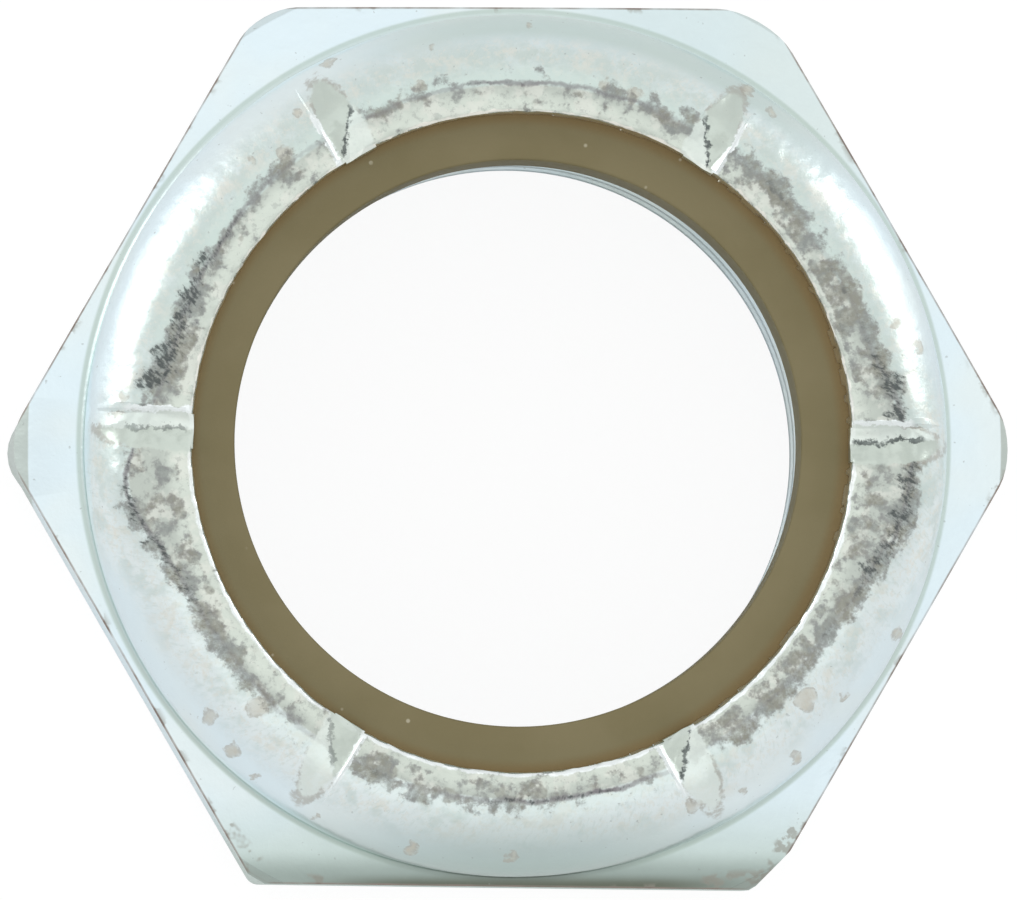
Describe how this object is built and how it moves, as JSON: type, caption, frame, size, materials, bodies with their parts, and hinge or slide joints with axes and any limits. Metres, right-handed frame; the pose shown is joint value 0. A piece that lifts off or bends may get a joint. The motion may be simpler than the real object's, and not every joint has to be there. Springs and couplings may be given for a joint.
{
  "type": "nylon insert lock nut",
  "caption": "Thin hexagon lock nut with a collar crimped in over a nylon locking ring, staked over each corner, zinc plated.",
  "frame": {"origin": "middle of the flat bearing face, at the foot of the thread axis", "axes": "+Z along the thread axis, from the bearing face towards the crimped collar; two corners of the hexagon lie on X and two flats face along Y"},
  "size_m": [0.031, 0.027, 0.0107],
  "materials": {
    "zinc_steel": "clear zinc plated steel, satin, scuffed round the crimp",
    "nylon": "aged olive-brown nylon, matte"
  },
  "bodies": {
    "root": {"nut_body": "zinc_steel", "nylon_ring": "nylon"}
  },
  "joints": []
}
